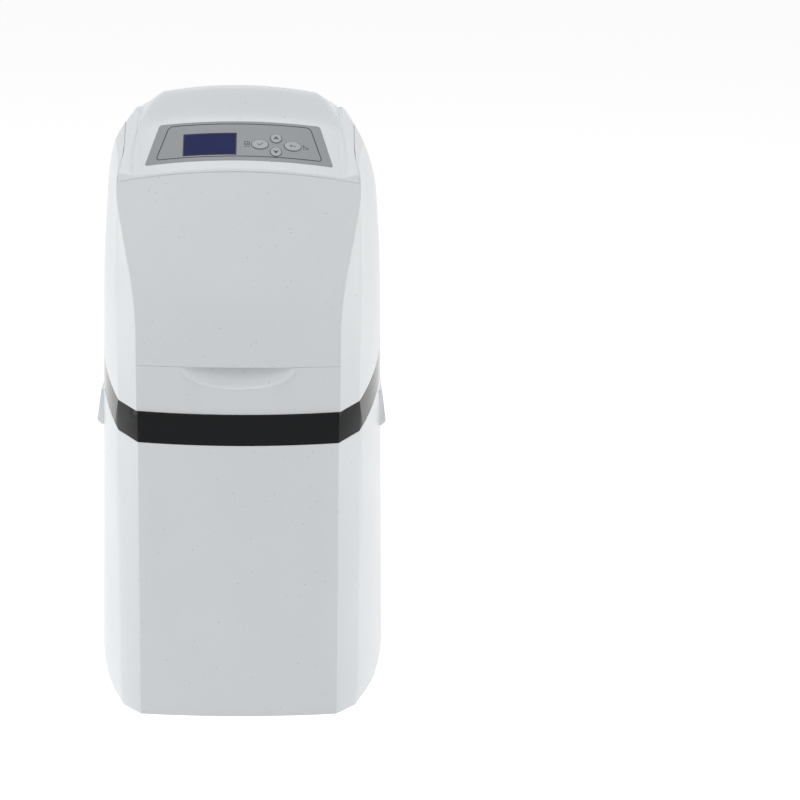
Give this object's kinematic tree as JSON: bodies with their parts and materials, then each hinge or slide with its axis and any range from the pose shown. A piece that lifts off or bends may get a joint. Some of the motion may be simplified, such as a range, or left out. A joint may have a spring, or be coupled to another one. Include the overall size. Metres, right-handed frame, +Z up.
{
  "type": "cabinet water softener",
  "caption": "Upright cabinet water softener with flip-up salt lid, sloping keypad display, trim band, pressure vessel, piston valve with gear drive, and brine well.",
  "frame": {"origin": "middle of the underside, on the floor", "axes": "+X to the right seen from the front, +Y to the back, +Z up; the front face is at -Y"},
  "size_m": [0.32, 0.522, 0.6715],
  "materials": {
    "white_shell": "satin",
    "black_trim": "gloss",
    "steel_pin": "brushed",
    "key_cap": "satin",
    "label_film": "satin",
    "display_pane": "gloss",
    "display_module": "matte",
    "circuit_board": "satin",
    "key_rubber": "matte",
    "tray_plastic": "matte",
    "vessel_wrap": "wound glass fibre, gloss",
    "boot_plastic": "matte",
    "clear_pipe": "matte",
    "strainer_plastic": "matte",
    "resin": "matte",
    "seal_rubber": "matte",
    "valve_plastic": "satin",
    "spacer_plastic": "satin",
    "piston_coating": "satin",
    "gear_plastic": "satin",
    "motor_can": "zinc plated",
    "turbine_plastic": "satin",
    "grid_plastic": "matte",
    "well_plastic": "satin",
    "float_foam": "matte",
    "line_tube": "satin",
    "fitting_grey": "satin"
  },
  "bodies": {
    "cabinet": {"brine_tank": "white_shell", "trim_band": "black_trim", "control_hood": "white_shell", "panel_label": "label_film", "lcd_window": "display_pane", "lcd_module": "display_module", "control_board": "circuit_board", "keypad_mat": "key_rubber", "board_tray": "tray_plastic", "top_cover": "white_shell", "pressure_tank": "vessel_wrap", "tank_boot": "boot_plastic", "riser_tube": "clear_pipe", "bottom_strainer": "strainer_plastic", "top_strainer": "strainer_plastic", "resin_bed": "resin", "neck_seal": "seal_rubber", "valve_body": "valve_plastic", "piston_seals": "seal_rubber", "seal_spacers": "spacer_plastic", "end_plug": "valve_plastic", "injector_cap": "valve_plastic", "injector_screws": "steel_pin", "drain_fitting": "fitting_grey", "drive_motor": "motor_can", "drive_bracket": "valve_plastic", "turbine_cage": "spacer_plastic", "salt_grid": "grid_plastic", "brine_well": "well_plastic", "safety_valve": "fitting_grey", "brine_draw_tube": "well_plastic", "brine_elbow": "fitting_grey", "brine_line": "line_tube", "overflow_elbow": "fitting_grey", "overflow_nut": "fitting_grey", "power_inlet": "tray_plastic", "hood_screws": "steel_pin"},
    "lid": {"salt_lid": "white_shell", "lid_hinge_pins": "steel_pin"},
    "select_key": {"key_select": "key_cap"},
    "up_key": {"key_up": "key_cap"},
    "down_key": {"key_down": "key_cap"},
    "escape_key": {"key_escape": "key_cap"},
    "piston_body": {"piston": "piston_coating"},
    "gear": {"drive_gear": "gear_plastic"},
    "pinion": {"drive_pinion": "gear_plastic"},
    "turbine": {"flow_turbine": "turbine_plastic"},
    "float": {"well_float": "float_foam"},
    "well_cap": {"brine_well_cap": "well_plastic"}
  },
  "joints": [
    {"name": "lid_hinge", "type": "hinge", "parent": "cabinet", "child": "lid", "pos_m": [0, -0.206, 0.566], "axis": [-1, 0, 0], "range_deg": [0, 65]},
    {"name": "select_key_press", "type": "slide", "parent": "cabinet", "child": "select_key", "axis": [0, 0.6691, -0.7431], "range_m": [0, 0.0008], "stiffness_N_per_m": 900, "springref_m": -0.0004},
    {"name": "up_key_press", "type": "slide", "parent": "cabinet", "child": "up_key", "axis": [0, 0.6691, -0.7431], "range_m": [0, 0.0008], "stiffness_N_per_m": 900, "springref_m": -0.0004},
    {"name": "down_key_press", "type": "slide", "parent": "cabinet", "child": "down_key", "axis": [0, 0.6691, -0.7431], "range_m": [0, 0.0008], "stiffness_N_per_m": 900, "springref_m": -0.0004},
    {"name": "escape_key_press", "type": "slide", "parent": "cabinet", "child": "escape_key", "axis": [0, 0.6691, -0.7431], "range_m": [0, 0.0008], "stiffness_N_per_m": 900, "springref_m": -0.0004},
    {"name": "gear_turn", "type": "hinge", "parent": "cabinet", "child": "gear", "pos_m": [0, 0.042, 0.53], "axis": [0, 1, 0], "range_deg": [0, 300]},
    {"name": "piston_slide", "type": "slide", "parent": "cabinet", "child": "piston_body", "axis": [0, -1, 0], "range_m": [0, 0.024]},
    {"name": "pinion_turn", "type": "hinge", "parent": "cabinet", "child": "pinion", "pos_m": [0.036, 0.042, 0.53], "axis": [0, 1, 0], "range_deg": [-1500, 0]},
    {"name": "turbine_spin", "type": "hinge", "parent": "cabinet", "child": "turbine", "pos_m": [-0.03, 0.217, 0.5], "axis": [0, 1, 0], "continuous": true},
    {"name": "float_rise", "type": "slide", "parent": "cabinet", "child": "float", "axis": [0, 0, 1], "range_m": [0, 0.03]},
    {"name": "well_cap_lift", "type": "slide", "parent": "cabinet", "child": "well_cap", "axis": [0, 0, 1], "range_m": [0, 0.03]}
  ],
  "couplings": [
    {"joint": "piston_slide", "follows": "gear_turn", "m_per_rad": 0.0045837},
    {"joint": "pinion_turn", "follows": "gear_turn", "ratio": -5}
  ]
}
